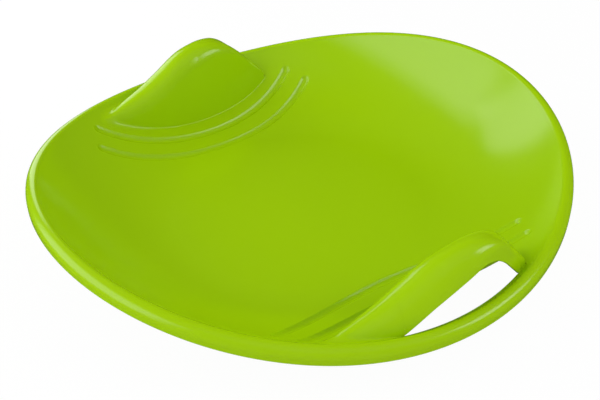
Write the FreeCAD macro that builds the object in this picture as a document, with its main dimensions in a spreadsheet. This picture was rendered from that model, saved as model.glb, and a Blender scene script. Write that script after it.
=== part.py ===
"""Saucer sled: a one-piece moulded dish with a rolled rim and two bridge handles.

Frame: millimetres, +Z up, the origin in the middle of the flat underside, +Y towards the raised front
end and the handles at -X (left) and +X (right). The sled is its own mirror image in the YZ plane.
"""
import FreeCAD, Part
import Sketcher
import math
import os

from FreeCAD import Vector

doc = FreeCAD.newDocument("saucer_sled")

# Driving dimensions: alias, value (lengths in millimetres, angles in degrees)
SIZES = [
    # The dish: a flat floor that curves up to a saddle-shaped edge
    ("sled_radius", 300.0),
    ("wall", 3.2),
    ("floor_radius", 150.0),
    ("floor_blend", 58.0),
    ("knee_height", 44.6),
    # The wall's slope at the dish's edge, and what it gains where the crest is higher by its mean height
    ("edge_slope", 56.2),
    ("slope_gain", 31.4),
    # The rim: mean height of its crest, its rise from the sides to the ends, and the front's extra rise
    ("crest_height", 80.4),
    ("crest_saddle", 23.3),
    ("crest_tilt", 12.1),
    ("crest_radius", 4.5),
    ("lip_radius", 9.5),
    ("skirt_length", 6.3),
    # The grooves: two arcs about one centre outside the sled, beside each handle
    ("groove_centre_outset", 245.0),
    ("groove_centre_y", -13.0),
    ("near_groove_radius", 350.0),
    ("near_groove_rear", -151.0),
    ("near_groove_front", 131.0),
    ("groove_pitch", 30.0),
    ("far_groove_rear", -160.0),
    ("far_groove_front", 146.0),
    ("groove_width", 11.0),
    ("groove_depth", 2.0),
    # The handle's inner wall: a drafted arc in plan, set in from the sled's edge
    ("foot_inset", 85.0),
    ("foot_height", 12.4),
    ("foot_arc_radius", 576.0),
    ("foot_centre_y", -18.0),
    ("inner_draft", 17.0),
    # The handle's outer flank: a drafted wall that follows the rim
    ("flank_inset", 17.5),
    ("flank_height", 50.0),
    ("flank_draft", 10.4),
    # The handle's ridge along Y: a hollow sweep, a crown of two arcs and a straight front
    ("crown_y", 10.0),
    ("crown_height", 114.0),
    ("rear_crown_radius", 95.0),
    ("rear_crown_angle", 35.0),
    ("rear_sweep_radius", 210.0),
    ("front_crown_radius", 81.0),
    ("front_slope", 46.7),
    ("tip_width", 4.5),
    ("nose_length", 24.0),
    # The shoulder at the top's outer edge: its crown lies further forward and lower, with a tighter front
    ("shoulder_lead", 12.0),
    ("shoulder_drop", 4.0),
    ("shoulder_front_radius", 45.0),
    # The rounding of both edges of the handle's top
    ("ridge_rounding", 10.0),
    ("shoulder_rounding", 8.0),
    # The hand hole: an arch cut through the flank
    ("hole_rear", -71.5),
    ("hole_front", 71.8),
    ("hole_sill", 51.6),
    ("hole_rear_slope", 26.5),
    ("hole_front_slope", 47.5),
    ("hole_rounding", 45.0),
    ("hole_inset", 50.0),
    # What the cutting solids reach past the pieces that they cut
    ("overrun", 10.0),
]

# Places along a handle, as shares of its length, through which it is lofted
STATION_SHARES = [0.0, 0.08, 0.17, 0.27, 0.37, 0.46, 0.54, 0.62, 0.69, 0.76, 0.85, 1.0]
# The most that a rounding may take of the shorter side beside it
ROUNDING_SHARE = 0.45
# Halvings in the search for a handle's tips
TIP_STEPS = 40
# Steps round the sled through which each ring of the dish and the rim passes
RING_STEPS = 32


def fill_sheet():
    """Puts the driving dimensions into a spreadsheet, one alias each."""
    cells = doc.addObject("Spreadsheet::Sheet", "sizes")
    for row, (alias, value) in enumerate(SIZES, start=1):
        cells.set("A%d" % row, alias)
        cells.set("B%d" % row, str(value))
        cells.setAlias("B%d" % row, alias)
    doc.recompute()
    return cells


sheet = fill_sheet()


def size(alias):
    return float(sheet.get(alias))


def angle(alias):
    return math.radians(size(alias))


def add_solid(name, shape):
    """A document object that holds one computed shape."""
    item = doc.addObject("Part::Feature", name)
    item.Shape = shape
    return item


# The dish and the rim: closed surfaces round the Z axis

def crest_rise(turn):
    """How far the rim's crest stands above its mean height, at an angle from +X."""
    return size("crest_tilt") * math.sin(turn) - size("crest_saddle") * math.cos(2.0 * turn)


def wall_slope(turn):
    """Slope of the dish's wall at its edge."""
    return angle("edge_slope") + angle("slope_gain") * crest_rise(turn) / size("crest_height")


def roll_centre(turn, radius):
    """Middle of an arc of the rim's roll that passes through the crest, as (radius, height)."""
    return size("sled_radius") - size("lip_radius"), size("crest_height") + crest_rise(turn) - radius


def upper_poles(turn):
    """Bezier poles of the dish's upper face in a radial plane, from the floor to the roll."""
    slope = wall_slope(turn)
    centre_radius, centre_height = roll_centre(turn, size("crest_radius"))
    edge_radius = centre_radius - size("crest_radius") * math.sin(slope)
    edge_height = centre_height + size("crest_radius") * math.cos(slope)
    knee_radius = edge_radius - (edge_height - size("knee_height")) / math.tan(slope)
    return [
        (size("floor_radius"), size("wall")),
        (size("floor_radius") + size("floor_blend"), size("wall")),
        (knee_radius, size("knee_height")),
        (edge_radius, edge_height),
    ]


def lower_poles(turn):
    """Bezier poles of the dish's underside: the upper poles' outline, one wall further out."""
    upper = upper_poles(turn)
    normals = []
    for (radius, height), (next_radius, next_height) in zip(upper, upper[1:]):
        slope = math.atan2(next_height - height, next_radius - radius)
        normals.append((math.sin(slope), -math.cos(slope)))
    before = [normals[0]] + normals
    after = normals + [normals[-1]]
    lower = []
    for (radius, height), (ax, az), (bx, bz) in zip(upper, before, after):
        reach = size("wall") / (1.0 + ax * bx + az * bz)
        lower.append((radius + reach * (ax + bx), height + reach * (az + bz)))
    return lower


def raised(poles_at, lift):
    """The same poles at another height."""
    return lambda turn: [(radius, height + lift) for radius, height in poles_at(turn)]


def line_poles(start, end):
    return lambda turn: [start(turn), end(turn)]


def roll_arc(face_radius, inset, start_at, end_at):
    """Bezier poles of an arc of the roll, one inset inside its face, between two angles from outward."""
    radius = face_radius - inset

    def poles(turn):
        centre_radius, centre_height = roll_centre(turn, face_radius)
        start = start_at(turn)
        end = end_at(turn)
        handle = 4.0 / 3.0 * math.tan((end - start) / 4.0) * radius
        corners = []
        for at, side in ((start, 1.0), (end, -1.0)):
            corner = (centre_radius + radius * math.cos(at), centre_height + radius * math.sin(at))
            inner = (corner[0] - side * handle * math.sin(at), corner[1] + side * handle * math.cos(at))
            corners.append((corner, inner))
        return [corners[0][0], corners[0][1], corners[1][1], corners[1][0]]
    return poles


def ring(point_at):
    """A closed curve round the Z axis through the (radius, height) found at each angle."""
    points = []
    for step in range(RING_STEPS):
        turn = 2.0 * math.pi * step / RING_STEPS - math.pi / 2.0
        radius, height = point_at(turn)
        points.append(Vector(radius * math.cos(turn), radius * math.sin(turn), height))
    curve = Part.BSplineCurve()
    curve.interpolate(Points=points, PeriodicFlag=True, Parameters=list(range(RING_STEPS + 1)))
    return curve


def band(poles_at):
    """The face that a Bezier outline sweeps round the Z axis."""
    count = len(poles_at(0.0))
    curves = [ring(lambda turn, index=index: poles_at(turn)[index]) for index in range(count)]
    surface = Part.BSplineSurface()
    surface.buildFromPolesMultsKnots(
        [curve.getPoles() for curve in curves],
        [count, count],
        curves[0].getMultiplicities(),
        [0.0, 1.0],
        curves[0].getKnots(),
        False,
        True,
        count - 1,
        curves[0].Degree,
    )
    return surface.toShape()


def disc(point_at):
    """The flat face inside a level ring."""
    return Part.Face(Part.Wire(ring(point_at).toShape()))


def closed_solid(faces):
    solid = Part.Solid(Part.Shell(faces))
    if solid.Volume < 0.0:
        solid.reverse()
    return solid


def pole(poles_at, index):
    return lambda turn: poles_at(turn)[index]


def dish_shell():
    """The dish before its grooves and handle openings are cut."""
    edge = line_poles(pole(upper_poles, -1), pole(lower_poles, -1))
    return closed_solid([
        disc(pole(upper_poles, 0)),
        band(upper_poles),
        band(edge),
        band(lower_poles),
        disc(pole(lower_poles, 0)),
    ])


def space_above(poles_at):
    """Everything above a dish surface, up to a flat top clear of the rim and the handles."""
    rim_top = size("crest_height") + size("crest_saddle") + size("crest_tilt")
    top = max(rim_top, size("crown_height")) + size("overrun")

    def lid(turn):
        return poles_at(turn)[-1][0], top
    return closed_solid([
        disc(pole(poles_at, 0)),
        band(poles_at),
        band(line_poles(pole(poles_at, -1), lid)),
        disc(lid),
    ])


def rim_shell():
    """The rolled lip: over the crest, down the skirt, round its edge and back underneath."""
    crest = size("crest_radius")
    lip = size("lip_radius")
    wall = size("wall")

    def at_wall(turn):
        return math.pi / 2.0 + wall_slope(turn)

    def upward(turn):
        return math.pi / 2.0

    def outward(turn):
        return 0.0

    def skirt_end(inset):
        def point(turn):
            radius, height = roll_centre(turn, lip)
            return radius + lip - inset, height - size("skirt_length")
        return point
    over = [roll_arc(crest, 0.0, at_wall, upward), roll_arc(lip, 0.0, upward, outward)]
    under = [roll_arc(lip, wall, outward, upward), roll_arc(crest, wall, upward, at_wall)]
    skirt = [
        line_poles(pole(over[1], -1), skirt_end(0.0)),
        line_poles(skirt_end(0.0), skirt_end(wall)),
        line_poles(skirt_end(wall), pole(under[0], 0)),
    ]
    joint = [line_poles(pole(under[1], -1), pole(over[0], 0))]
    return closed_solid([band(poles) for poles in over + skirt + under + joint])


# The handles: lofts through upright sections across the right one

def arch_height(along, front, inset):
    """Height of an arch of the handle along Y from its crown, or of the line at an inset below it."""
    rear_angle = angle("rear_crown_angle")
    front_angle = angle("front_slope")
    rear = size("rear_crown_radius")
    sweep = size("rear_sweep_radius")
    rear_end = -(rear - inset) * math.sin(rear_angle)
    front_end = (front - inset) * math.sin(front_angle)
    if along < rear_end:
        centre = -(rear + sweep) * math.sin(rear_angle)
        height = (rear + sweep) * math.cos(rear_angle) - rear
        return size("crown_height") + height - math.sqrt((sweep + inset) ** 2 - (along - centre) ** 2)
    if along < 0.0:
        return size("crown_height") - rear + math.sqrt((rear - inset) ** 2 - along ** 2)
    if along < front_end:
        return size("crown_height") - front + math.sqrt((front - inset) ** 2 - along ** 2)
    drop = front - (front - inset) * math.cos(front_angle)
    return size("crown_height") - drop - (along - front_end) * math.tan(front_angle)


def rounded_corner(before, corner, after, radius):
    """Start, middle and end of the arc that rounds a corner, within the sides beside it."""
    towards = before - corner
    away = after - corner
    half = towards.getAngle(away) / 2.0
    most_reach = ROUNDING_SHARE * min(towards.Length, away.Length)
    reach = min(radius / math.tan(half), most_reach)
    towards.normalize()
    away.normalize()
    bisector = (towards + away).normalize()
    middle = corner + bisector * (reach / math.cos(half) - reach * math.tan(half))
    return corner + towards * reach, middle, corner + away * reach


def wall_lines(y, inset):
    """The inner wall and the flank at one place along the handle, as functions of height."""
    bulge = size("foot_arc_radius")
    middle_foot_x = size("sled_radius") - size("foot_inset")
    foot_x = middle_foot_x + bulge - math.sqrt(bulge ** 2 - (y - size("foot_centre_y")) ** 2)
    inner_lean = math.tan(angle("inner_draft"))
    inner_shift = inset / math.cos(angle("inner_draft"))
    flank_x = math.sqrt((size("sled_radius") - size("flank_inset")) ** 2 - y ** 2)
    flank_lean = math.tan(angle("flank_draft"))
    flank_shift = inset / math.cos(angle("flank_draft"))

    def on_inner(height):
        return Vector(foot_x + inner_shift + (height - size("foot_height")) * inner_lean, y, height)

    def on_flank(height):
        return Vector(flank_x - flank_shift - (height - size("flank_height")) * flank_lean, y, height)
    return on_inner, on_flank


def top_edges(y, inset):
    """The ridge and the shoulder at one place along the handle, before they are rounded."""
    on_inner, on_flank = wall_lines(y, inset)
    along = y - size("crown_y")
    ridge_height = arch_height(along, size("front_crown_radius"), inset)
    shoulder_arch = arch_height(along - size("shoulder_lead"), size("shoulder_front_radius"), inset)
    return on_inner(ridge_height), on_flank(shoulder_arch - size("shoulder_drop"))


def tip_place(side, inset):
    """Where along Y the handle's top has narrowed to its tip's width, towards the rear or the front."""
    near = size("crown_y")
    far = side * (size("sled_radius") - size("flank_inset"))
    for step in range(TIP_STEPS):
        middle = (near + far) / 2.0
        ridge, shoulder = top_edges(middle, inset)
        if shoulder.x - ridge.x > size("tip_width"):
            near = middle
        else:
            far = middle
    return near


def handle_section(y, inset):
    """Closed outline across the handle at one place along it, one inset inside its faces."""
    on_inner, on_flank = wall_lines(y, inset)
    ridge, shoulder = top_edges(y, inset)
    inner_foot = on_inner(-size("overrun"))
    outer_foot = on_flank(-size("overrun"))
    ridge_arc = rounded_corner(inner_foot, ridge, shoulder, size("ridge_rounding") - inset)
    shoulder_arc = rounded_corner(ridge, shoulder, outer_foot, size("shoulder_rounding") - inset)
    return Part.Wire([
        Part.LineSegment(inner_foot, ridge_arc[0]).toShape(),
        Part.Arc(*ridge_arc).toShape(),
        Part.LineSegment(ridge_arc[2], shoulder_arc[0]).toShape(),
        Part.Arc(*shoulder_arc).toShape(),
        Part.LineSegment(shoulder_arc[2], outer_foot).toShape(),
        Part.LineSegment(outer_foot, inner_foot).toShape(),
    ])


def handle_loft(rear, inset):
    """A handle's block from a rear end to its front tip, one inset inside its faces."""
    length = tip_place(1.0, inset) - rear
    sections = [handle_section(rear + share * length, inset) for share in STATION_SHARES]
    return Part.makeLoft(sections, True, False)


# Sketched cutters

def arc_slot_sketch(name, radius_aliases, rear, front):
    """A slot with round ends along an arc about the grooves' centre, bound to the sheet."""
    sketch = doc.addObject("Sketcher::SketchObject", name)
    radius = sum(size(alias) for alias in radius_aliases)
    radius_terms = " + ".join("sizes." + alias for alias in radius_aliases)
    centre_x = size("sled_radius") + size("groove_centre_outset")
    centre = Vector(centre_x, size("groove_centre_y"), 0.0)
    half = size("groove_width") / 2.0
    turns = []
    for end in (front, rear):
        turns.append(math.pi - math.asin((size(end) - centre.y) / radius))
    up = Vector(0.0, 0.0, 1.0)

    def arc(middle, span, start, end):
        return sketch.addGeometry(Part.ArcOfCircle(Part.Circle(middle, up, span), start, end), False)

    def on_arc(turn):
        return centre + Vector(math.cos(turn), math.sin(turn), 0.0) * radius
    outer = arc(centre, radius + half, turns[0], turns[1])
    inner = arc(centre, radius - half, turns[0], turns[1])
    front_cap = arc(on_arc(turns[0]), half, turns[0] - math.pi, turns[0])
    rear_cap = arc(on_arc(turns[1]), half, turns[1], turns[1] + math.pi)
    joins = [
        (outer, 1, front_cap, 2),
        (inner, 1, front_cap, 1),
        (outer, 2, rear_cap, 1),
        (inner, 2, rear_cap, 2),
    ]
    for first, first_end, second, second_end in joins:
        sketch.addConstraint(Sketcher.Constraint("Tangent", first, first_end, second, second_end))
    sketch.addConstraint(Sketcher.Constraint("Coincident", outer, 3, inner, 3))
    centre_terms = "sizes.sled_radius + sizes.groove_centre_outset"
    outer_terms = radius_terms + " + sizes.groove_width / 2"
    bound = [
        (Sketcher.Constraint("DistanceX", -1, 1, outer, 3, centre.x), centre_terms),
        (Sketcher.Constraint("DistanceY", -1, 1, outer, 3, centre.y), "sizes.groove_centre_y"),
        (Sketcher.Constraint("Radius", outer, radius + half), outer_terms),
        (Sketcher.Constraint("Radius", rear_cap, half), "sizes.groove_width / 2"),
        (Sketcher.Constraint("DistanceY", -1, 1, front_cap, 3, size(front)), "sizes." + front),
        (Sketcher.Constraint("DistanceY", -1, 1, rear_cap, 3, size(rear)), "sizes." + rear),
    ]
    for constraint, expression in bound:
        index = sketch.addConstraint(constraint)
        sketch.setExpression("Constraints[%d]" % index, expression)
    return sketch


def hole_outline():
    """The hand hole seen from the side: two sloping edges with a round top, open at the bottom."""
    rear_lean = math.tan(angle("hole_rear_slope"))
    front_lean = math.tan(angle("hole_front_slope"))
    rear, front = size("hole_rear"), size("hole_front")
    top_y = (rear * rear_lean + front * front_lean) / (rear_lean + front_lean)
    x = size("sled_radius") - size("hole_inset")
    sill = size("hole_sill")
    corner = Vector(x, top_y, sill + (top_y - rear) * rear_lean)
    rear_point = Vector(x, rear, sill)
    front_point = Vector(x, front, sill)
    arc = rounded_corner(rear_point, corner, front_point, size("hole_rounding"))
    rear_bottom = Vector(x, rear, -size("overrun"))
    front_bottom = Vector(x, front, -size("overrun"))
    return Part.Face(Part.Wire([
        Part.LineSegment(rear_bottom, rear_point).toShape(),
        Part.LineSegment(rear_point, arc[0]).toShape(),
        Part.Arc(*arc).toShape(),
        Part.LineSegment(arc[2], front_point).toShape(),
        Part.LineSegment(front_point, front_bottom).toShape(),
        Part.LineSegment(front_bottom, rear_bottom).toShape(),
    ]))


def extrusion(name, base, direction, length):
    """A solid pushed out of an outline, its length bound to the sheet."""
    item = doc.addObject("Part::Extrusion", name)
    item.Base = base
    item.DirMode = "Custom"
    item.Dir = direction
    item.Solid = True
    item.setExpression("LengthFwd", length)
    return item


def boolean(kind, name, base, tool):
    item = doc.addObject("Part::" + kind, name)
    item.Base = base
    item.Tool = tool
    return item


def mirrored(name, source):
    """The same piece on the sled's other side."""
    item = doc.addObject("Part::Mirroring", name)
    item.Source = source
    item.Normal = Vector(1.0, 0.0, 0.0)
    return item


def build_handles():
    """The right handle, its mirror image, and the blocks that open the dish for them."""
    rear = tip_place(-1.0, 0.0)
    block = add_solid("right_block", handle_loft(rear, 0.0))
    hollow = add_solid("right_hollow", handle_loft(rear + size("nose_length"), size("wall")))
    outline = add_solid("hole_outline", hole_outline())
    hole = extrusion("hole_cutter", outline, Vector(1.0, 0.0, 0.0), "sizes.hole_inset")
    above = add_solid("space_above_underside", space_above(lower_poles))
    flush = boolean("Common", "right_flush_block", block, above)
    shell = boolean("Cut", "right_handle_shell", flush, hollow)
    right = boolean("Cut", "right_handle", shell, hole)
    left = mirrored("left_handle", right)
    return right, left, [block, mirrored("left_block", block)]


def build_grooves():
    """The solids that cut the grooves to an even depth below the dish's upper face."""
    grooves = [
        ("near_groove", ["near_groove_radius"]),
        ("far_groove", ["near_groove_radius", "groove_pitch"]),
    ]
    slots = []
    for name, radius_aliases in grooves:
        sketch = arc_slot_sketch(name + "_sketch", radius_aliases, name + "_rear", name + "_front")
        slots.append(extrusion(name, sketch, Vector(0.0, 0.0, 1.0), "sizes.crest_height"))
    both = boolean("Fuse", "right_slots", slots[0], slots[1])
    groove_floor = raised(upper_poles, -size("groove_depth"))
    above = add_solid("space_above_groove_floor", space_above(groove_floor))
    right = boolean("Common", "right_grooves", both, above)
    return [right, mirrored("left_grooves", right)]


def build():
    right, left, blocks = build_handles()
    dish = add_solid("dish_shell", dish_shell())
    for cutter in blocks + build_grooves():
        dish = boolean("Cut", "dish_less_" + cutter.Name, dish, cutter)
    rim = add_solid("rim", rim_shell())
    pieces = [("dish", dish), ("rim", rim), ("left_handle", left), ("right_handle", right)]
    for name, item in pieces:
        item.Label = name
        item.Placement = FreeCAD.Placement()
    doc.recompute()
    return [item for name, item in pieces]


def check(pieces):
    """Stops the build if any step failed or any piece is not one valid solid."""
    for item in doc.Objects:
        if "Invalid" in item.State or "Error" in item.State:
            raise RuntimeError("failed step: " + item.Name)
    for piece in pieces:
        shape = piece.Shape
        if shape.isNull() or not shape.isValid() or len(shape.Solids) != 1:
            raise RuntimeError("bad shape: " + piece.Label)


pieces = build()
check(pieces)
os.makedirs("parts", exist_ok=True)
for piece in pieces:
    piece.Shape.exportStep("parts/%s.step" % piece.Label)
    print(piece.Label, "volume", round(piece.Shape.Volume))
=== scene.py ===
"""Saucer sled: the glossy moulded shell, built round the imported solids.

Frame: metres, +Z up, the origin in the middle of the flat underside, +Y towards the raised front end and
the handles at -X (left) and +X (right). The left half is the mirror image of the right half.
"""
import math

import bpy
import numpy as np
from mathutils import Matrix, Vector
from mathutils.geometry import delaunay_2d_cdt


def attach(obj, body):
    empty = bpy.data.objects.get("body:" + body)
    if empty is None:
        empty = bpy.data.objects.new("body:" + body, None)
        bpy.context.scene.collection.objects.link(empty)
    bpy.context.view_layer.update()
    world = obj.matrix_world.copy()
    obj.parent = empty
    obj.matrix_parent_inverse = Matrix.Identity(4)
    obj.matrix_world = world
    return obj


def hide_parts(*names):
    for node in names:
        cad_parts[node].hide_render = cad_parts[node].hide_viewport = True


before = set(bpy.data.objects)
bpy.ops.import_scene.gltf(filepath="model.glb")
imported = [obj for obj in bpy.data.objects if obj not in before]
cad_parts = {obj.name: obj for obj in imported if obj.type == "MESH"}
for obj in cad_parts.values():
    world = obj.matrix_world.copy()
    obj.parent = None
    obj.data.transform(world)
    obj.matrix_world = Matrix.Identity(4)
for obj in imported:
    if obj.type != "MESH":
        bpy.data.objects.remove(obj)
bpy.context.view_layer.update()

# The dish: a flat floor that curves up to a saddle-shaped edge
SLED_RADIUS = 0.300
WALL = 0.0032
FLOOR_RADIUS = 0.150
FLOOR_BLEND = 0.058
KNEE_HEIGHT = 0.0446
# The wall's slope at the dish's edge, and what it gains where the crest is higher by its mean height
EDGE_SLOPE = math.radians(56.2)
SLOPE_GAIN = math.radians(31.4)
# The rim: mean height of its crest, its rise from the sides to the ends, and the front's extra rise
CREST_HEIGHT = 0.0804
CREST_SADDLE = 0.0233
CREST_TILT = 0.0121
CREST_RADIUS = 0.0045
LIP_RADIUS = 0.0095
SKIRT_LENGTH = 0.0063
# The grooves: two arcs about one centre outside the sled, beside each handle: radius, rear end, front end
GROOVE_CENTRE = (0.545, -0.013)
GROOVES = [(0.350, -0.151, 0.131), (0.380, -0.160, 0.146)]
GROOVE_HALF_WIDTH = 0.0055
GROOVE_DEPTH = 0.0034
# The softness of a groove's edges and of its bed, and the skin under it
GROOVE_BRINK = 0.0009
GROOVE_BED = 0.0008
GROOVE_SKIN = 0.0012
# The handle's inner wall: a drafted arc in plan, and its outer flank, which follows the rim
FOOT_X = 0.215
FOOT_HEIGHT = 0.0124
FOOT_ARC_RADIUS = 0.576
FOOT_CENTRE_Y = -0.018
INNER_DRAFT = math.radians(13.5)
FLANK_RADIUS = 0.2825
FLANK_HEIGHT = 0.050
FLANK_DRAFT = math.radians(10.4)
# The handle's ridge along Y: a hollow sweep, a crown of two arcs and a straight front
CROWN_Y = 0.010
CROWN_HEIGHT = 0.110
REAR_CROWN_RADIUS = 0.095
REAR_CROWN_ANGLE = math.radians(35.0)
REAR_SWEEP_RADIUS = 0.210
FRONT_CROWN_RADIUS = 0.081
FRONT_SLOPE = math.radians(46.7)
# The shoulder at the top's outer edge: its crown lies further forward and lower, with a tighter front
SHOULDER_LEAD = 0.012
SHOULDER_DROP = 0.0043
SHOULDER_FRONT_RADIUS = 0.045
TOP_LEAST_WIDTH = 0.006
# The blunt faces at the handle's front and rear ends
# Each has a place on it, the way that it faces in plan and its draft
FRONT_FACE = ((0.236, 0.102, 0.044), math.radians(66.4), math.radians(8.0))
REAR_FACE = ((0.240, -0.140, 0.050), math.radians(-98.0), math.radians(15.0))
# Places along the handle, and there the fall of its top to the outside and the softness of its edges
SECTION_PLACES = (-0.130, -0.077, -0.025, 0.002, 0.035, 0.070, 0.100)
TOP_FALLS = (0.003, 0.005, 0.004, 0.002, 0.000, 0.000, 0.000)
RIDGE_BLENDS = (0.020, 0.027, 0.027, 0.026, 0.014, 0.006, 0.003)
SHOULDER_BLENDS = (0.020, 0.027, 0.027, 0.022, 0.008, 0.006, 0.004)
FOOT_BLENDS = (0.0070, 0.0020, 0.0008, 0.0008, 0.0008, 0.0008, 0.0008)
# What the ridge and the shoulder stand up by to make up for their softness
RIDGE_SHARE = 0.06
SHOULDER_SHARE = 0.41
# The softness of the handle's front and rear edges, and of the foot under the dish
FRONT_BLEND = 0.0030
REAR_BLEND = 0.0100
UNDER_BLEND = 0.0050
# The thickness of the handle's wall
GRIP_WALL = 0.0024
# The hand hole: an arch cut through the flank
# Each of its three sides: a place on it along Y and Z, and its slope
HOLE_SIDES = [
    (-0.0550, 0.0600, math.radians(29.0)),
    (0.0000, 0.0847, math.radians(18.0)),
    (0.0564, 0.0687, math.radians(-47.7)),
]
# The softness of the corners between them
HOLE_BLENDS = (0.004, 0.029)
# A handle's footprint on the dish: an arc about the grooves' centre, closed by the flank's foot and a margin
FOOTPRINT_RADIUS = 0.340
WIDEST_TURN = math.radians(40.0)
FLANK_MARGIN = 0.0020
FLANK_MARGIN_FADE = math.radians(4.0)
# The radius that parts the foot of a handle's inner wall from the foot of its flank
FOOT_PARTING = 0.258
# Mesh counts and spacings
RIM_STEPS = 400
CREST_STEPS = 14
LIP_STEPS = 16
GROOVE_EDGE_STEPS = 18
HANDLE_STATIONS = 180
SECTION_POINTS = 110
SECTION_SAMPLES = 600
EDGE_STEPS = 8
DISH_SPACING = 0.0052
FLOOR_SPACING = 0.0095
GROOVE_STEP = 0.0030
CAP_STEPS = 14
CLEARANCE = 0.0024
# A groove's rings outside its edge, by their distance from it
GROOVE_MARGINS = (0.0022, 0.0006)
# Its innermost ring, as a share of its half width
GROOVE_MIDDLE_SHARE = 0.1
# Samples along the dish's profile and in the searches for the hand hole's and the footprint's tips
PROFILE_SAMPLES = 400
HOLE_SAMPLES = 4000
TIP_SAMPLES = 8000
# The length that a bend of one radian counts for when a section's points are spaced
BEND_WEIGHT = 0.006
# The searches' steps, and the height that they start from as a share of the crown's
FIND_STEPS = 8
FOOT_HALVINGS = 40
HEIGHT_HALVINGS = 20
SEARCH_SHARE = 1.2
# How far the search along a dish face may go, and the least speed that it divides by
FURTHEST_ALONG = 1.05
LEAST_SPEED = 1e-4
# Steps for slopes and for normals
SLOPE_STEP = 1e-4
NORMAL_STEP = 2e-5
# The least blend, the least width of a footprint and the least length that count
LEAST_BLEND = 1e-6
LEAST_TIP_WIDTH = 1e-5
LEAST_LENGTH = 1e-9
# How far the handle's top runs on past its two edges, as a share of its width
TOP_OVERRUN_SHARE = 0.5
# The plastic: its two tints, its least and most roughness, and its index of refraction
DARK_LIME = (0.330, 0.570, 0.0003, 1.0)
LIGHT_LIME = (0.345, 0.585, 0.0005, 1.0)
ROUGHNESS_RANGE = (0.15, 0.20)
PLASTIC_IOR = 1.5
# The scale and detail of the noise in its tint, its roughness and its moulded skin
TINT_NOISE = (9.0, 3.0)
ROUGHNESS_NOISE = (60.0, 4.0)
SKIN_NOISE = (900.0, 2.0)
SKIN_STRENGTH = 0.02
SKIN_DEPTH = 0.0002
# The floor: its reach and finish, the share of a plain glow that the camera sees, and its glow in reflections
FLOOR_REACH = 6.0
FLOOR_TINT = (0.9, 0.9, 0.9, 1.0)
FLOOR_ROUGHNESS = 0.9
CAMERA_GLOW_SHARE = 0.97
MIRRORED_GLOW = 0.03
# The world: its white, and its fill at the sides and above
WHITE = (1.0, 1.0, 1.0, 1.0)
FILL_AT_SIDES = 0.88
FILL_ABOVE = 0.25
# The lights: name, azimuth and elevation in degrees, distance, width, height, power, whether gloss shows it
SOFTBOXES = [
    ("side_softbox", 191.0, 20.0, 0.80, 0.34, 0.50, 0.95, True),
    ("rear_softbox", 250.0, 27.0, 1.80, 2.6, 1.60, 10.5, True),
    ("rear_softbox_core", 250.0, 27.0, 1.79, 2.0, 1.15, 7.0, True),
    ("front_softbox", 38.0, 34.0, 1.80, 0.6, 0.60, 3.8, True),
    ("right_fill", 5.0, 66.0, 1.80, 2.0, 1.60, 10.0, False),
    ("left_fill", 205.0, 45.0, 1.80, 2.0, 1.60, 4.0, False),
]
# The camera: its azimuth from -Y towards +X, its elevation, and its distance from the place that it looks at
CAMERA_AZIMUTH = math.radians(55.5)
CAMERA_ELEVATION = math.radians(35.73)
CAMERA_DISTANCE = 0.8793
CAMERA_TARGET = Vector((0.0701, -0.0478, 0.0702))
CAMERA_LENS = 50.0
CAMERA_CLIP_START = 0.05


# The dish's surfaces

def crest_rise(turn):
    """How far the rim's crest stands above its mean height, at an angle from +X."""
    return CREST_TILT * np.sin(turn) - CREST_SADDLE * np.cos(2.0 * turn)


def crest_slope(turn):
    """How fast the crest rises with the angle."""
    return CREST_TILT * np.cos(turn) + 2.0 * CREST_SADDLE * np.sin(2.0 * turn)


def wall_slope(turn):
    """Slope of the dish's wall at its edge."""
    return EDGE_SLOPE + SLOPE_GAIN * crest_rise(turn) / CREST_HEIGHT


def upper_poles(turn):
    """Bezier poles of the dish's upper face in a radial plane: radii and heights."""
    turn = np.asarray(turn, dtype=float)
    slope = wall_slope(turn)
    edge_radius = SLED_RADIUS - LIP_RADIUS - CREST_RADIUS * np.sin(slope)
    edge_height = CREST_HEIGHT + crest_rise(turn) - CREST_RADIUS * (1.0 - np.cos(slope))
    knee_radius = edge_radius - (edge_height - KNEE_HEIGHT) / np.tan(slope)
    level = np.ones_like(turn)
    radii = [FLOOR_RADIUS * level, (FLOOR_RADIUS + FLOOR_BLEND) * level, knee_radius, edge_radius]
    heights = [WALL * level, WALL * level, KNEE_HEIGHT * level, edge_height]
    return radii, heights


def lower_poles(turn):
    """Bezier poles of the dish's underside: the upper poles' outline, one wall further out."""
    radii, heights = upper_poles(turn)
    slopes = [np.arctan2(heights[i + 1] - heights[i], radii[i + 1] - radii[i]) for i in range(3)]
    before = [slopes[0]] + slopes
    after = slopes + [slopes[-1]]
    low_radii, low_heights = [], []
    for radius, height, first, second in zip(radii, heights, before, after):
        reach = WALL / (1.0 + np.cos(first - second))
        low_radii.append(radius + reach * (np.sin(first) + np.sin(second)))
        low_heights.append(height - reach * (np.cos(first) + np.cos(second)))
    return low_radii, low_heights


def bezier(poles, along):
    """Value of a cubic Bezier curve at a share of its parameter."""
    back = 1.0 - along
    first, second, third, fourth = poles
    return (
        back ** 3 * first
        + 3.0 * back ** 2 * along * second
        + 3.0 * back * along ** 2 * third
        + along ** 3 * fourth
    )


def bezier_speed(poles, along):
    """Rate of change of a cubic Bezier curve."""
    back = 1.0 - along
    first, second, third, fourth = poles
    return 3.0 * (
        back ** 2 * (second - first)
        + 2.0 * back * along * (third - second)
        + along ** 2 * (fourth - third)
    )


def profile_point(poles, floor_height, along):
    """Radius and height on a dish face: along runs from -1 in the middle to 0 at the floor's edge and 1."""
    radii, heights = poles
    curve = np.maximum(along, 0.0)
    on_floor = along < 0.0
    radius = np.where(on_floor, FLOOR_RADIUS * (1.0 + along), bezier(radii, curve))
    height = np.where(on_floor, floor_height, bezier(heights, curve))
    return radius, height


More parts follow.
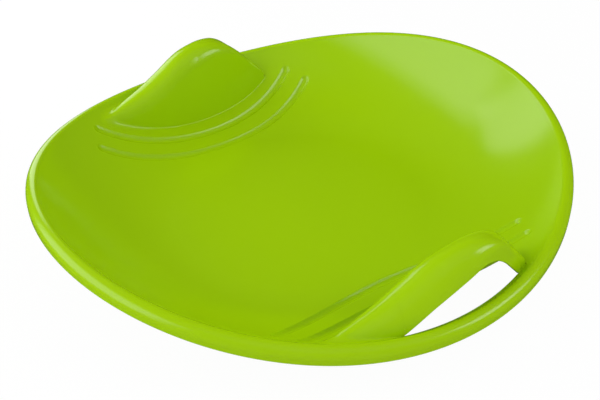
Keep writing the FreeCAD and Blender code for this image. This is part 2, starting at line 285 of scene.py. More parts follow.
def find_along(poles, radius):
    """The place along a dish face at which it has a radius."""
    radii = poles[0]
    along = np.clip((radius - radii[0]) / (radii[3] - radii[0]), 0.0, 1.0)
    for step in range(FIND_STEPS):
        speed = np.maximum(bezier_speed(radii, along), LEAST_SPEED)
        along = along - (bezier(radii, along) - radius) / speed
        along = np.clip(along, 0.0, FURTHEST_ALONG)
    return np.where(radius < FLOOR_RADIUS, radius / FLOOR_RADIUS - 1.0, along)


def face_height(poles_at, floor_height, x, y):
    """Height of a dish face above a place in plan."""
    poles = poles_at(np.arctan2(y, x))
    radius = np.hypot(x, y)
    return profile_point(poles, floor_height, find_along(poles, radius))[1]


def dish_height(x, y):
    """Height of the dish's upper face without its grooves."""
    return face_height(upper_poles, WALL, x, y)


def under_height(x, y):
    """Height of the dish's underside without its grooves."""
    return face_height(lower_poles, 0.0, x, y)


def smooth_step(share):
    """A share from 0 to 1 that starts and ends level."""
    share = np.clip(share, 0.0, 1.0)
    return share * share * (3.0 - 2.0 * share)


def groove_turns(radius, rear, front):
    """Angles of a groove's two ends about the grooves' centre, from the inward direction."""
    return [math.asin((end - GROOVE_CENTRE[1]) / radius) for end in (rear, front)]


def groove_distance(groove, x, y):
    """Distance in plan from a groove's middle line, on either side of the sled."""
    rear_turn, front_turn = groove_turns(*groove)
    across = GROOVE_CENTRE[0] - np.abs(x)
    turn = np.clip(np.arctan2(y - GROOVE_CENTRE[1], across), rear_turn, front_turn)
    near_x = GROOVE_CENTRE[0] - groove[0] * np.cos(turn)
    near_y = GROOVE_CENTRE[1] + groove[0] * np.sin(turn)
    return np.hypot(np.abs(x) - near_x, y - near_y)


def soft_max(first, second, blend):
    """The larger of two values, with the corner where they cross rounded over a blend."""
    return np.maximum(first, second) + np.maximum(blend - np.abs(first - second), 0.0) ** 2 / (4.0 * blend)


def soft_min(first, second, blend):
    """The smaller of two values, rounded in the same way."""
    return -soft_max(-first, -second, blend)


def grooved_height(x, y):
    """Height of the dish's upper face with its grooves."""
    depth = 0.0
    for groove in GROOVES:
        share = groove_distance(groove, x, y) / GROOVE_HALF_WIDTH
        depth = depth + soft_max(GROOVE_DEPTH * (1.0 - share ** 2), 0.0, GROOVE_BRINK)
    level = dish_height(x, y)
    return level - soft_min(depth, level - GROOVE_SKIN, GROOVE_BED)


def ribbed_height(x, y):
    """Height of the dish's underside, which follows the grooves where they come near it."""
    return np.minimum(under_height(x, y), grooved_height(x, y) - GROOVE_SKIN)


def height_normals(height_at, x, y):
    """Upward unit normals of a height field."""
    slope_x = (height_at(x + NORMAL_STEP, y) - height_at(x - NORMAL_STEP, y)) / (2.0 * NORMAL_STEP)
    slope_y = (height_at(x, y + NORMAL_STEP) - height_at(x, y - NORMAL_STEP)) / (2.0 * NORMAL_STEP)
    normals = np.stack([-slope_x, -slope_y, np.ones_like(slope_x)], axis=-1)
    return normals / np.linalg.norm(normals, axis=-1, keepdims=True)


# The handles' surfaces, for the right one

def arch_height(along, front_radius):
    """Height of an arch of the handle, along Y from its crown."""
    rear_end = -REAR_CROWN_RADIUS * math.sin(REAR_CROWN_ANGLE)
    front_end = front_radius * math.sin(FRONT_SLOPE)
    sweep_centre = -(REAR_CROWN_RADIUS + REAR_SWEEP_RADIUS) * math.sin(REAR_CROWN_ANGLE)
    sweep_top = (REAR_CROWN_RADIUS + REAR_SWEEP_RADIUS) * math.cos(REAR_CROWN_ANGLE) - REAR_CROWN_RADIUS

    def arc(radius, offset):
        return np.sqrt(np.maximum(radius ** 2 - offset ** 2, 0.0))

    sweep = sweep_top - arc(REAR_SWEEP_RADIUS, along - sweep_centre)
    rear = arc(REAR_CROWN_RADIUS, along) - REAR_CROWN_RADIUS
    front = arc(front_radius, along) - front_radius
    drop = front_radius * (1.0 - math.cos(FRONT_SLOPE))
    straight = -drop - (along - front_end) * math.tan(FRONT_SLOPE)
    stretches = [along < rear_end, along < 0.0, along < front_end]
    return CROWN_HEIGHT + np.select(stretches, [sweep, rear, front], straight)


def ridge_height(y):
    """Height of the arch at the top's inner edge."""
    return arch_height(y - CROWN_Y, FRONT_CROWN_RADIUS)


def shoulder_height(y):
    """Height of the arch at the top's outer edge."""
    return arch_height(y - CROWN_Y - SHOULDER_LEAD, SHOULDER_FRONT_RADIUS) - SHOULDER_DROP


def section_value(y, values):
    """A value between those that are set at places along the handle."""
    return np.interp(y, SECTION_PLACES, values)


def inner_wall_x(y, z):
    """Place of the handle's inner wall along X."""
    bulge = FOOT_ARC_RADIUS - np.sqrt(FOOT_ARC_RADIUS ** 2 - (y - FOOT_CENTRE_Y) ** 2)
    return FOOT_X + bulge + (z - FOOT_HEIGHT) * math.tan(INNER_DRAFT)


def flank_x(y, z):
    """Place of the handle's outer flank along X."""
    return np.sqrt(FLANK_RADIUS ** 2 - y ** 2) - (z - FLANK_HEIGHT) * math.tan(FLANK_DRAFT)


def top_height(x, y):
    """Height of the handle's top, from its ridge to its shoulder."""
    ridge = ridge_height(y) + RIDGE_SHARE * section_value(y, RIDGE_BLENDS)
    shoulder = shoulder_height(y) + SHOULDER_SHARE * section_value(y, SHOULDER_BLENDS)
    shoulder = np.minimum(shoulder, ridge) - section_value(y, TOP_FALLS)
    ridge_x = inner_wall_x(y, ridge)
    width = np.maximum(flank_x(y, shoulder) - ridge_x, TOP_LEAST_WIDTH)
    share = np.clip((x - ridge_x) / width, -TOP_OVERRUN_SHARE, 1.0 + TOP_OVERRUN_SHARE)
    return ridge + share * (shoulder - ridge)


def end_face(face, x, y, z):
    """Distance ahead of a drafted face at an end of the handle."""
    (face_x, face_y, face_z), turn, draft = face
    ahead = (x - face_x) * math.cos(turn) + (y - face_y) * math.sin(turn)
    return ahead * math.cos(draft) + (z - face_z) * math.sin(draft)


def handle_field(x, y, z, inset):
    """Roughly the distance outside the handle's block, shrunk by an inset."""
    arch_slope = (ridge_height(y + SLOPE_STEP) - ridge_height(y - SLOPE_STEP)) / (2.0 * SLOPE_STEP)
    inner = (inner_wall_x(y, z) - x) * math.cos(INNER_DRAFT) + inset
    flank = (x - flank_x(y, z)) * math.cos(FLANK_DRAFT) + inset
    top = (z - top_height(x, y)) / np.sqrt(1.0 + arch_slope ** 2) + inset
    block = soft_max(inner, top, section_value(y, RIDGE_BLENDS))
    block = soft_max(block, flank, section_value(y, SHOULDER_BLENDS))
    block = soft_max(block, end_face(FRONT_FACE, x, y, z) + inset, FRONT_BLEND)
    return soft_max(block, end_face(REAR_FACE, x, y, z) + inset, REAR_BLEND)


def hole_height(y):
    """Height of the hand hole's upper edge along Y, and far below the sled beside the hole."""
    rear, crown, front = [place_z + (y - place_y) * math.tan(slope) for place_y, place_z, slope in HOLE_SIDES]
    return soft_min(soft_min(rear, crown, HOLE_BLENDS[0]), front, HOLE_BLENDS[1])


def flank_foot_radius(turn):
    """Radius at which the handle's flank meets the dish's upper face."""
    low = np.full_like(turn, FOOT_PARTING)
    high = upper_poles(turn)[0][3]
    for step in range(FOOT_HALVINGS):
        radius = (low + high) / 2.0
        x, y = radius * np.cos(turn), radius * np.sin(turn)
        outside = x > flank_x(y, dish_height(x, y))
        low = np.where(outside, low, radius)
        high = np.where(outside, radius, high)
    return (low + high) / 2.0


def hole_turns():
    """Turns of the hand hole's two tips, where its upper edge meets the dish."""
    turns = np.linspace(-WIDEST_TURN, WIDEST_TURN, HOLE_SAMPLES)
    radius = flank_foot_radius(turns)
    x, y = radius * np.cos(turns), radius * np.sin(turns)
    opened = turns[hole_height(y) + GRIP_WALL / 2.0 > dish_height(x, y)]
    return opened[0], opened[-1]


HOLE_TURNS = hole_turns()


def flank_margin_share(turn):
    """How much of the margin outside the flank belongs to the handle: none beside the hand hole."""
    beyond = np.maximum(HOLE_TURNS[0] - turn, turn - HOLE_TURNS[1])
    return smooth_step(beyond / FLANK_MARGIN_FADE)


def footprint(turn):
    """Inner and outer radius of a handle's footprint on the dish."""
    outer = flank_foot_radius(turn) + FLANK_MARGIN * flank_margin_share(turn)
    toward = GROOVE_CENTRE[0] * np.cos(turn) + GROOVE_CENTRE[1] * np.sin(turn)
    beside = GROOVE_CENTRE[0] ** 2 + GROOVE_CENTRE[1] ** 2 - toward ** 2
    near = toward - np.sqrt(np.maximum(FOOTPRINT_RADIUS ** 2 - beside, 0.0))
    return np.minimum(near, outer), outer


def footprint_tips():
    """Turns of the footprint's rear and front tips, where its two sides meet."""
    turns = np.linspace(-WIDEST_TURN, WIDEST_TURN, TIP_SAMPLES)
    near, far = footprint(turns)
    apart = turns[far - near > LEAST_TIP_WIDTH]
    return apart[0], apart[-1]


REAR_TIP, FRONT_TIP = footprint_tips()


def shell_field(x, y, z, inner):
    """Roughly the distance outside the handle and the dish together, of the outer or the inner skin."""
    turn = np.arctan2(y, x)
    radius = np.hypot(x, y)
    ground = under_height if inner else dish_height
    level = ground(x, y)
    slope = (ground(x + SLOPE_STEP * np.cos(turn), y + SLOPE_STEP * np.sin(turn)) - level) / SLOPE_STEP
    dish = (z - level) / np.sqrt(1.0 + slope ** 2)
    fade = np.where(radius > FOOT_PARTING, flank_margin_share(turn), 1.0)
    softness = UNDER_BLEND if inner else section_value(y, FOOT_BLENDS)
    inset = GRIP_WALL if inner else 0.0
    return soft_min(handle_field(x, y, z, inset), dish, np.maximum(softness * fade, LEAST_BLEND))


# Mesh helpers

def make_piece(name, points, normals, faces, node, material):
    """A smooth mesh piece with its own normals that stands for a CAD node."""
    mesh = bpy.data.meshes.new(name)
    mesh.from_pydata(np.asarray(points).tolist(), [], faces, shade_flat=False)
    mesh.validate()
    mesh.normals_split_custom_set_from_vertices(np.asarray(normals).tolist())
    mesh.materials.append(material)
    piece = bpy.data.objects.new(name, mesh)
    bpy.context.scene.collection.objects.link(piece)
    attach(piece, "root")
    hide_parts(node)
    return piece


def grid_faces(rows, columns, start=0, closed_rows=False):
    """Quads of a grid of points that is stored row by row."""
    faces = []
    last = rows if closed_rows else rows - 1
    for row in range(last):
        below = start + row * columns
        above = start + (row + 1) % rows * columns
        for column in range(columns - 1):
            faces.append((below + column, below + column + 1, above + column + 1, above + column))
    return faces


def edge_rows(top, bottom, bulge, roundness):
    """Rows of points, with normals, from a sheet's top edge round to its bottom edge."""
    middle = (top + bottom) / 2.0
    half = (top - bottom) / 2.0
    length = np.linalg.norm(half, axis=-1, keepdims=True)
    rows, normals = [], []
    for step in range(EDGE_STEPS + 1):
        swing = math.pi * step / EDGE_STEPS
        out = half * math.cos(swing) + bulge * length * math.sin(swing)
        rows.append(middle + half * math.cos(swing) + bulge * length * math.sin(swing) * roundness[:, None])
        normals.append(out / np.linalg.norm(out, axis=-1, keepdims=True))
    return np.array(rows), np.array(normals)


def plan_points(radius, turn):
    """Places in plan at a radius and a turn from +X."""
    return radius * np.cos(turn), radius * np.sin(turn)


# The rim

def rim_profile(turns):
    """Radii, heights and facings of the rolled lip's outline at each turn: over, down and back under."""
    crest = CREST_HEIGHT + crest_rise(turns)
    middle = SLED_RADIUS - LIP_RADIUS
    outward = 0.0 * turns
    upward = outward + math.pi / 2.0
    at_wall = upward + wall_slope(turns)
    columns = []

    def arc(centre_radius, drop, radius, first, last, shares, flip):
        for share in shares:
            swing = first + (last - first) * share
            out = centre_radius + radius * np.cos(swing)
            columns.append((out, crest - drop + radius * np.sin(swing), swing + flip))

    crest_shares = np.linspace(0.0, 1.0, CREST_STEPS + 1)
    lip_shares = np.linspace(0.0, 1.0, LIP_STEPS + 1)
    end_shares = np.linspace(0.0, 1.0, EDGE_STEPS + 1)
    end_drop = LIP_RADIUS + SKIRT_LENGTH - WALL / 2.0
    arc(middle, CREST_RADIUS, CREST_RADIUS, at_wall, upward, crest_shares, 0.0)
    arc(middle, LIP_RADIUS, LIP_RADIUS, upward, outward, lip_shares[1:], 0.0)
    arc(SLED_RADIUS - WALL / 2.0, end_drop, WALL / 2.0, outward, outward - math.pi, end_shares, 0.0)
    arc(middle, LIP_RADIUS, LIP_RADIUS - WALL, outward, upward, lip_shares, math.pi)
    arc(middle, CREST_RADIUS, CREST_RADIUS - WALL, upward, at_wall, crest_shares[1:], math.pi)
    return [np.stack(values, axis=-1) for values in zip(*columns)]


def build_rim(material):
    """The rolled lip all round the sled."""
    turns = np.linspace(0.0, 2.0 * math.pi, RIM_STEPS, endpoint=False)
    radius, height, facing = rim_profile(turns)
    count = radius.shape[1]
    turns = turns[:, None]
    x, y = plan_points(radius, turns)
    points = np.stack([x, y, height], axis=-1).reshape(-1, 3)
    lean = -np.sin(facing) * crest_slope(turns) / radius
    normals = np.stack([
        np.cos(facing) * np.cos(turns) - lean * np.sin(turns),
        np.cos(facing) * np.sin(turns) + lean * np.cos(turns),
        np.sin(facing),
    ], axis=-1).reshape(-1, 3)
    normals /= np.linalg.norm(normals, axis=-1, keepdims=True)
    faces = grid_faces(RIM_STEPS, count, closed_rows=True)
    for row in range(RIM_STEPS):
        after = (row + 1) % RIM_STEPS
        faces.append((row * count + count - 1, row * count, after * count, after * count + count - 1))
    return make_piece("rim_lip", points, normals, faces, "rim", material)


# The handles

def station_turns():
    """Turns of the stations along a handle, from its rear tip to its front tip."""
    return np.linspace(REAR_TIP, FRONT_TIP, HANDLE_STATIONS)


def solve_height(radius, turn, inner):
    """Height of the handle's outer or inner skin above places in plan."""
    x, y = plan_points(radius, turn)
    low = np.full_like(x, -WALL)
    high = np.full_like(x, CROWN_HEIGHT * SEARCH_SHARE)
    for step in range(HEIGHT_HALVINGS):
        middle = (low + high) / 2.0
        outside = shell_field(x, y, middle, inner) > 0.0
        low = np.where(outside, low, middle)
        high = np.where(outside, middle, high)
    return (low + high) / 2.0


def resample(radius, height):
    """A section's outline with its points gathered where it bends."""
    steps = np.hypot(np.diff(radius), np.diff(height))
    headings = np.arctan2(np.diff(height), np.diff(radius))
    bends = np.zeros_like(steps)
    bends[1:] = np.abs(np.diff(headings))
    weight = np.concatenate([[0.0], np.cumsum(steps + BEND_WEIGHT * bends)])
    if weight[-1] < LEAST_LENGTH:
        return np.full(SECTION_POINTS, radius[0]), np.full(SECTION_POINTS, height[0])
    places = np.linspace(0.0, weight[-1], SECTION_POINTS)
    return np.interp(places, weight, radius), np.interp(places, weight, height)


def cut_at_hole(radius, height, turn):
    """A section's outline, ended on the flank where the hand hole opens below it."""
    top = int(np.argmax(height))
    foot = top + int(np.argmin(height[top:]))
    stop = hole_height(radius * math.sin(turn)) + GRIP_WALL / 2.0
    below = np.nonzero(height[top:foot + 1] < stop[top:foot + 1])[0]
    if len(below) == 0 or below[0] == 0:
        return radius, height, False
    last = top + below[0]
    gap_before = height[last - 1] - stop[last - 1]
    gap_after = height[last] - stop[last]
    share = gap_before / (gap_before - gap_after)
    end_radius = radius[last - 1] + share * (radius[last] - radius[last - 1])
    end_height = height[last - 1] + share * (height[last] - height[last - 1])
    return np.append(radius[:last], end_radius), np.append(height[:last], end_height), True


def handle_skin(inner):
    """The right handle's outer or inner skin: points by station and section, and which stations are open."""
    turns = station_turns()
    near, far = footprint(turns)
    if inner:
        near = skin_partner(near, turns)
        far = skin_partner(far, turns)
    shares = np.linspace(0.0, 1.0, SECTION_SAMPLES)
    radii = near[:, None] + (far - near)[:, None] * shares[None, :]
    heights = solve_height(radii, turns[:, None] + 0.0 * radii, inner)
    rows, opened = [], []
    for turn, radius, height in zip(turns, radii, heights):
        radius, height, is_open = cut_at_hole(radius, height, turn)
        radius, height = resample(radius, height)
        x, y = plan_points(radius, turn)
        rows.append(np.stack([x, y, height], axis=-1))
        opened.append(is_open)
    return np.array(rows), np.array(opened)


def skin_partner(radius, turn):
    """Radius on the dish's underside that lies across the wall from a radius on its upper face."""
    along = find_along(upper_poles(turn), radius)
    return profile_point(lower_poles(turn), 0.0, along)[0]


def field_normals(points, inner):
    """Unit normals of the handle's outer or inner skin."""
    columns = []
    for axis in range(3):
        shift = np.zeros(3)
        shift[axis] = NORMAL_STEP
        ahead = shell_field(*(points + shift).T, inner)
        behind = shell_field(*(points - shift).T, inner)
        columns.append((ahead - behind) / (2.0 * NORMAL_STEP))
    normals = np.stack(columns, axis=-1)
    normals /= np.linalg.norm(normals, axis=-1, keepdims=True)
    return -normals if inner else normals


def build_handle(name, node, side, skins, material):
    """One handle: its outer and inner skins and the rounded edges between them."""
    outer, inner, opened = skins
    stations, count = outer.shape[:2]
    points = [outer.reshape(-1, 3), inner.reshape(-1, 3)]
    normals = [field_normals(points[0], False), field_normals(points[1], True)]
    size = stations * count
    faces = grid_faces(stations, count)
    faces += [face[::-1] for face in grid_faces(stations, count, size)]
    start = 2 * size
    roundness = opened.astype(float)
    for column, sense in ((0, 1), (count - 1, -1)):
        top, bottom = outer[:, column], inner[:, column]
        bulge = np.zeros_like(top)
        bulge[:, 2] = -1.0
        rows, row_normals = edge_rows(top, bottom, bulge, roundness if column else 0.0 * roundness)
        points.append(rows.reshape(-1, 3))
        normals.append(row_normals.reshape(-1, 3))
        strip = grid_faces(EDGE_STEPS + 1, stations, start)
        faces += strip if sense > 0 else [face[::-1] for face in strip]
        start += (EDGE_STEPS + 1) * stations
    points = np.concatenate(points)
    normals = np.concatenate(normals)
    if side < 0:
        points = points * [-1.0, 1.0, 1.0]
        normals = normals * [-1.0, 1.0, 1.0]
        faces = [face[::-1] for face in faces]
    return make_piece(name, points, normals, faces, node, material)


# The dish

def footprint_outline(side):
    """A handle's opening in the dish, in plan: its inner side to the front, then its outer side back."""
    turns = station_turns()
    near, far = footprint(turns)
    radius = np.concatenate([near, far[-2:0:-1]])
    turn = np.concatenate([turns, turns[-2:0:-1]])
    x, y = plan_points(radius, turn)
    return np.stack([side * x, y], axis=-1)


def groove_rings(groove, side, distances):
    """Closed outlines round a groove's middle line, each at its own distance from it."""
    rear_turn, front_turn = groove_turns(*groove)
    count = int((front_turn - rear_turn) * groove[0] / GROOVE_STEP)
    turns = np.linspace(rear_turn, front_turn, count)
    caps = np.linspace(0.0, math.pi, CAP_STEPS + 1)[1:-1]
    rings = []
    for distance in distances:
        spans = [groove[0] + distance + 0.0 * turns, groove[0] - distance + 0.0 * turns[::-1]]
        angles = [turns, turns[::-1]]
        parts = []
        for span, angle, end in zip(spans, angles, (front_turn, rear_turn)):
            parts.append(np.stack([-span * np.cos(angle), span * np.sin(angle)], axis=-1))
            swing = end + caps if end == front_turn else end + math.pi + caps
            middle = np.array([-groove[0] * math.cos(end), groove[0] * math.sin(end)])
            parts.append(middle + distance * np.stack([-np.cos(swing), np.sin(swing)], axis=-1))
        ring = np.concatenate(parts) + GROOVE_CENTRE
        rings.append(ring * [side, 1.0])
    return rings, count


def groove_distances():
    """Distances from a groove's middle line at which its mesh has a ring, from the outside in."""
    brink = GROOVE_HALF_WIDTH * math.sqrt(1.0 + GROOVE_BRINK / GROOVE_DEPTH)
    edge = np.linspace(brink, GROOVE_MIDDLE_SHARE * GROOVE_HALF_WIDTH, GROOVE_EDGE_STEPS + 1)
    return np.concatenate([[brink + margin for margin in GROOVE_MARGINS], edge])


def inside_footprint(x, y, margin):
    """Whether places in plan lie in a handle's opening or near it."""
    turn = np.arctan2(y, np.abs(x))
    radius = np.hypot(x, y)
    turn_margin = margin / SLED_RADIUS
    near, far = footprint(np.clip(turn, REAR_TIP, FRONT_TIP))
    in_turn = (turn > REAR_TIP - turn_margin) & (turn < FRONT_TIP + turn_margin)
    return in_turn & (radius > near - margin) & (radius < far + margin)


def dish_grid():
    """Places in plan on even rings over the dish, clear of the grooves and the handles."""
    places = [np.zeros((1, 2))]
    floor_rings = int(FLOOR_RADIUS / FLOOR_SPACING)
    alongs = list(np.linspace(-1.0, 0.0, floor_rings + 1)[1:])
    samples = np.linspace(0.0, 1.0, PROFILE_SAMPLES)
    front_poles = upper_poles(np.full(PROFILE_SAMPLES, math.pi / 2.0))
    radius, height = profile_point(front_poles, WALL, samples)
    lengths = np.concatenate([[0.0], np.cumsum(np.hypot(np.diff(radius), np.diff(height)))])
    wall_rings = int(lengths[-1] / DISH_SPACING)
    alongs += list(np.interp(np.linspace(0.0, lengths[-1], wall_rings + 1)[1:-1], lengths, samples))
    for index, along in enumerate(alongs):
        spacing = FLOOR_SPACING if along < 0.0 else DISH_SPACING
        radius = profile_point(upper_poles(0.0), WALL, np.array(along))[0]
        count = int(2.0 * math.pi * radius / spacing)
        turns = (np.arange(count) + 0.5 * (index % 2)) * 2.0 * math.pi / count
        ring_radius = profile_point(upper_poles(turns), WALL, np.full(count, along))[0]
        places.append(np.stack(plan_points(ring_radius, turns), axis=-1))
    places = np.concatenate(places)
    x, y = places.T
    keep = ~inside_footprint(x, y, CLEARANCE)
    for groove in GROOVES:
        keep &= groove_distance(groove, x, y) > groove_distances()[0] + CLEARANCE
    return places[keep]


def dish_plan():
    """The dish in plan: places, faces over them, and the closed outlines of its edge and its openings."""
    edge_turns = np.linspace(0.0, 2.0 * math.pi, RIM_STEPS, endpoint=False)
    edge_radius = upper_poles(edge_turns)[0][3]
    outlines = [np.stack(plan_points(edge_radius, edge_turns), axis=-1)]
    outlines += [footprint_outline(side) for side in (1.0, -1.0)]
    grooves = []
    for side in (1.0, -1.0):
        for groove in GROOVES:
            grooves.append(groove_rings(groove, side, groove_distances()))
    fences = outlines + [rings[0] for rings, count in grooves]
    places = np.concatenate(fences + [dish_grid()])
    constraints, start, loops = [], 0, []
    for fence in fences:
        loop = list(range(start, start + len(fence)))
        loops.append(loop)
        constraints += list(zip(loop, loop[1:] + loop[:1]))
        start += len(fence)
    flat = [Vector(place) for place in places]
    result = delaunay_2d_cdt(flat, constraints, [], 0, LEAST_LENGTH)
    if len(result[0]) != len(places):
        raise RuntimeError("the dish's outlines cross: %d places became %d" % (len(places), len(result[0])))
    faces = keep_dish_faces(places, [list(face) for face in result[2]])
    for loop, (rings, count) in zip(loops[3:], grooves):
        groove_places, groove_faces = fill_groove(rings, count, loop, len(places))
        places = np.concatenate([places, groove_places])
        faces += groove_faces
    return places, orient(places, faces), loops[:3]


def keep_dish_faces(places, faces):
    """The triangles that lie on the dish, not in an opening, in a groove or outside the edge."""
    middles = np.array([places[face].mean(axis=0) for face in faces])
    x, y = middles.T
    edge_radius = upper_poles(np.arctan2(y, x))[0][3]
    keep = (np.hypot(x, y) < edge_radius) & ~inside_footprint(x, y, 0.0)
    for groove in GROOVES:
        keep &= groove_distance(groove, x, y) > groove_distances()[0]
    return [face for face, kept in zip(faces, keep) if kept]


def fill_groove(rings, count, loop, start):
    """Places and faces of one groove inside its outermost ring."""
    size = len(rings[0])
    indices = [loop]
    for index in range(1, len(rings)):
        indices.append(list(range(start + (index - 1) * size, start + index * size)))
    faces = []
    for outer, inner in zip(indices, indices[1:]):
        for step in range(size):
            after = (step + 1) % size
            faces.append([outer[step], outer[after], inner[after], inner[step]])
    innermost = indices[-1]
    caps = CAP_STEPS - 1
    far_side = innermost[count + caps:2 * count + caps][::-1]
    for step in range(count - 1):
        faces.append([innermost[step], innermost[step + 1], far_side[step + 1], far_side[step]])
    faces.append(innermost[count - 1:count + caps + 1])
    faces.append(innermost[2 * count + caps - 1:] + innermost[:1])
    return np.concatenate(rings[1:]), faces


def orient(places, faces):
    """The same faces, all counterclockwise in plan."""
    turned = []
    for face in faces:
        x, y = places[face].T
        area = np.sum(x * np.roll(y, -1) - np.roll(x, -1) * y)
        turned.append(list(face) if area > 0.0 else list(face)[::-1])
    return turned


def build_dish(material):
    """The dish's shell: upper face with its grooves, underside, and the edges of its openings."""
    places, faces, loops = dish_plan()
    x, y = places.T
    turns = np.arctan2(y, x)
    upper = np.stack([x, y, grooved_height(x, y)], axis=-1)
    along = find_along(upper_poles(turns), np.hypot(x, y))
    under_radius, under_z = profile_point(lower_poles(turns), 0.0, along)
    under_x, under_y = plan_points(under_radius, turns)
    lower = np.stack([under_x, under_y, np.minimum(under_z, ribbed_height(under_x, under_y))], axis=-1)
    points = [upper, lower]
    normals = [height_normals(grooved_height, x, y), -height_normals(ribbed_height, under_x, under_y)]
    size = len(places)
    faces = faces + [[index + size for index in face[::-1]] for face in faces]
    start = 2 * size
    for loop, side in zip(loops, (0.0, 1.0, -1.0)):
        count = len(loop)
        top, bottom = upper[loop], lower[loop]
        roundness = np.zeros(count)
        if side:
            outer_side = np.arange(count) >= HANDLE_STATIONS
            loop_turns = np.arctan2(y[loop], np.abs(x[loop]))
            roundness = np.where(outer_side, 1.0 - flank_margin_share(loop_turns), 0.0)
        bulge = np.cross(np.roll(top, -1, axis=0) - np.roll(top, 1, axis=0), top - bottom)
        bulge /= np.linalg.norm(bulge, axis=-1, keepdims=True)
        bulge *= 1.0 if side == 0.0 else side
        rows, row_normals = edge_rows(top, bottom, bulge, roundness)
        points.append(rows.reshape(-1, 3))
        normals.append(row_normals.reshape(-1, 3))
        strip = grid_faces(EDGE_STEPS + 1, count, start)
        for step in range(EDGE_STEPS):
            below = start + step * count
            strip.append((below + count - 1, below, below + count, below + 2 * count - 1))
        faces += [face[::-1] for face in strip] if side >= 0.0 else strip
        start += (EDGE_STEPS + 1) * count
    return make_piece("dish_bowl", np.concatenate(points), np.concatenate(normals), faces, "dish", material)


# The plastic

def lime_plastic():
    """Glossy moulded polyethylene in lime green, with a faint mottle and a fine moulded skin."""
    material = bpy.data.materials.new("lime_plastic")
    material.use_nodes = True
    nodes, links = material.node_tree.nodes, material.node_tree.links
    shader = nodes["Principled BSDF"]
    place = nodes.new("ShaderNodeTexCoord")

    def noise(scale, detail):
        texture = nodes.new("ShaderNodeTexNoise")
        texture.inputs["Scale"].default_value = scale
        texture.inputs["Detail"].default_value = detail
        links.new(place.outputs["Object"], texture.inputs["Vector"])
        return texture.outputs["Fac"]

    def ramp(source, low, high):
        spread = nodes.new("ShaderNodeMapRange")
        spread.inputs["To Min"].default_value = low
        spread.inputs["To Max"].default_value = high
        links.new(source, spread.inputs["Value"])
        return spread.outputs["Result"]

    tint = nodes.new("ShaderNodeMix")
    tint.data_type = "RGBA"
    tint.inputs["A"].default_value = DARK_LIME
    tint.inputs["B"].default_value = LIGHT_LIME
    links.new(noise(*TINT_NOISE), tint.inputs["Factor"])
    links.new(tint.outputs["Result"], shader.inputs["Base Color"])
    links.new(ramp(noise(*ROUGHNESS_NOISE), *ROUGHNESS_RANGE), shader.inputs["Roughness"])
    shader.inputs["IOR"].default_value = PLASTIC_IOR
    bump = nodes.new("ShaderNodeBump")
    bump.inputs["Strength"].default_value = SKIN_STRENGTH
    bump.inputs["Distance"].default_value = SKIN_DEPTH
    links.new(noise(*SKIN_NOISE), bump.inputs["Height"])
    links.new(bump.outputs["Normal"], shader.inputs["Normal"])
    return material


# The stage: a white floor and world, soft lights and the camera

def white_floor():
    """A pale floor that looks white to the camera, keeps a faint shadow and is dim in reflections."""
    material = bpy.data.materials.new("white_floor")
    material.use_nodes = True
    nodes, links = material.node_tree.nodes, material.node_tree.links
    shader = nodes["Principled BSDF"]
    shader.inputs["Base Color"].default_value = FLOOR_TINT
    shader.inputs["Roughness"].default_value = FLOOR_ROUGHNESS
    shader.inputs["Specular IOR Level"].default_value = 0.0
    glow = nodes.new("ShaderNodeEmission")
    glow.inputs["Strength"].default_value = 1.0
    path = nodes.new("ShaderNodeLightPath")
    share = nodes.new("ShaderNodeMath")
    share.operation = "MULTIPLY"
    share.inputs[1].default_value = CAMERA_GLOW_SHARE
    links.new(path.outputs["Is Camera Ray"], share.inputs[0])
    seen = nodes.new("ShaderNodeMixShader")
    links.new(share.outputs["Value"], seen.inputs["Fac"])
    links.new(shader.outputs["BSDF"], seen.inputs[1])
    links.new(glow.outputs["Emission"], seen.inputs[2])
    dim = nodes.new("ShaderNodeEmission")
    dim.inputs["Strength"].default_value = MIRRORED_GLOW
    mirrored = nodes.new("ShaderNodeMixShader")
    links.new(path.outputs["Is Glossy Ray"], mirrored.inputs["Fac"])
    links.new(seen.outputs["Shader"], mirrored.inputs[1])
    links.new(dim.outputs["Emission"], mirrored.inputs[2])
    links.new(mirrored.outputs["Shader"], nodes["Material Output"].inputs["Surface"])
    return material


def build_floor():
    """The square floor that the sled lies on."""
    mesh = bpy.data.meshes.new("floor")
    signs = ((-1.0, -1.0), (1.0, -1.0), (1.0, 1.0), (-1.0, 1.0))
    corners = [(FLOOR_REACH * sign_x, FLOOR_REACH * sign_y, 0.0) for sign_x, sign_y in signs]
    mesh.from_pydata(corners, [], [(0, 1, 2, 3)])
    mesh.materials.append(white_floor())
    floor = bpy.data.objects.new("floor", mesh)
    bpy.context.scene.collection.objects.link(floor)


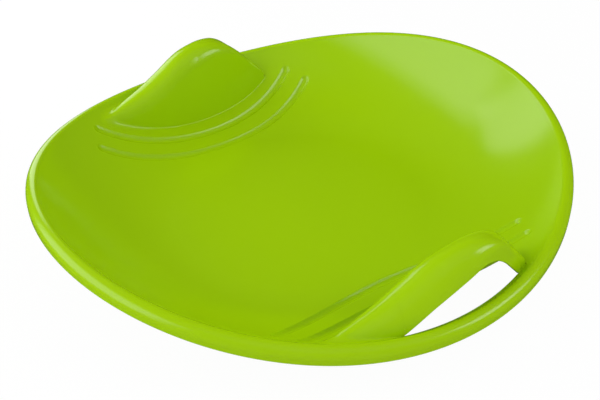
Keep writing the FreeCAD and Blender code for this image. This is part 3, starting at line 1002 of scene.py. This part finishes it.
def build_world():
    """White to the camera, absent from reflections, with a fill that is brighter at the sides than above."""
    world = bpy.data.worlds.new("studio")
    bpy.context.scene.world = world
    world.use_nodes = True
    nodes, links = world.node_tree.nodes, world.node_tree.links
    fill = nodes["Background"]
    fill.inputs["Color"].default_value = WHITE
    place = nodes.new("ShaderNodeTexCoord")
    axes = nodes.new("ShaderNodeSeparateXYZ")
    links.new(place.outputs["Generated"], axes.inputs["Vector"])
    level = nodes.new("ShaderNodeMapRange")
    level.inputs["To Min"].default_value = FILL_AT_SIDES
    level.inputs["To Max"].default_value = FILL_ABOVE
    links.new(axes.outputs["Z"], level.inputs["Value"])
    links.new(level.outputs["Result"], fill.inputs["Strength"])
    white = nodes.new("ShaderNodeBackground")
    white.inputs["Color"].default_value = WHITE
    white.inputs["Strength"].default_value = 1.0
    path = nodes.new("ShaderNodeLightPath")
    seen = nodes.new("ShaderNodeMixShader")
    links.new(path.outputs["Is Camera Ray"], seen.inputs["Fac"])
    links.new(fill.outputs["Background"], seen.inputs[1])
    links.new(white.outputs["Background"], seen.inputs[2])
    links.new(seen.outputs["Shader"], nodes["World Output"].inputs["Surface"])
    world.cycles_visibility.glossy = False


def add_softbox(name, azimuth, elevation, distance, width, height, power, mirrored):
    """A soft area light that faces the sled's middle, from an azimuth that counts from +X."""
    lamp = bpy.data.lights.new(name, "AREA")
    lamp.shape = "RECTANGLE"
    lamp.size = width
    lamp.size_y = height
    lamp.energy = power
    light = bpy.data.objects.new(name, lamp)
    bpy.context.scene.collection.objects.link(light)
    turn, lift = math.radians(azimuth), math.radians(elevation)
    away = Vector((math.cos(turn) * math.cos(lift), math.sin(turn) * math.cos(lift), math.sin(lift)))
    light.location = away * distance
    light.rotation_mode = "QUATERNION"
    light.rotation_quaternion = away.to_track_quat("Z", "Y")
    light.visible_glossy = mirrored


def build_lights():
    """All the soft lights."""
    for softbox in SOFTBOXES:
        add_softbox(*softbox)


def build_camera():
    """The camera of the photograph's view."""
    data = bpy.data.cameras.new("camera")
    data.lens = CAMERA_LENS
    data.clip_start = CAMERA_CLIP_START
    camera = bpy.data.objects.new("camera", data)
    bpy.context.scene.collection.objects.link(camera)
    level = math.cos(CAMERA_ELEVATION)
    back = Vector((
        math.sin(CAMERA_AZIMUTH) * level,
        -math.cos(CAMERA_AZIMUTH) * level,
        math.sin(CAMERA_ELEVATION),
    ))
    camera.location = CAMERA_TARGET + back * CAMERA_DISTANCE
    camera.rotation_mode = "QUATERNION"
    camera.rotation_quaternion = back.to_track_quat("Z", "Y")
    bpy.context.scene.camera = camera


def build_sled():
    """The four pieces, in one plastic. Both handles come from the same two skins."""
    plastic = lime_plastic()
    build_rim(plastic)
    build_dish(plastic)
    outer, opened = handle_skin(False)
    inner = handle_skin(True)[0]
    skins = (outer, inner, opened)
    build_handle("right_grip", "right_handle", 1.0, skins, plastic)
    build_handle("left_grip", "left_handle", -1.0, skins, plastic)


build_sled()
build_floor()
build_world()
build_lights()
build_camera()
bpy.context.scene.view_settings.view_transform = "Standard"
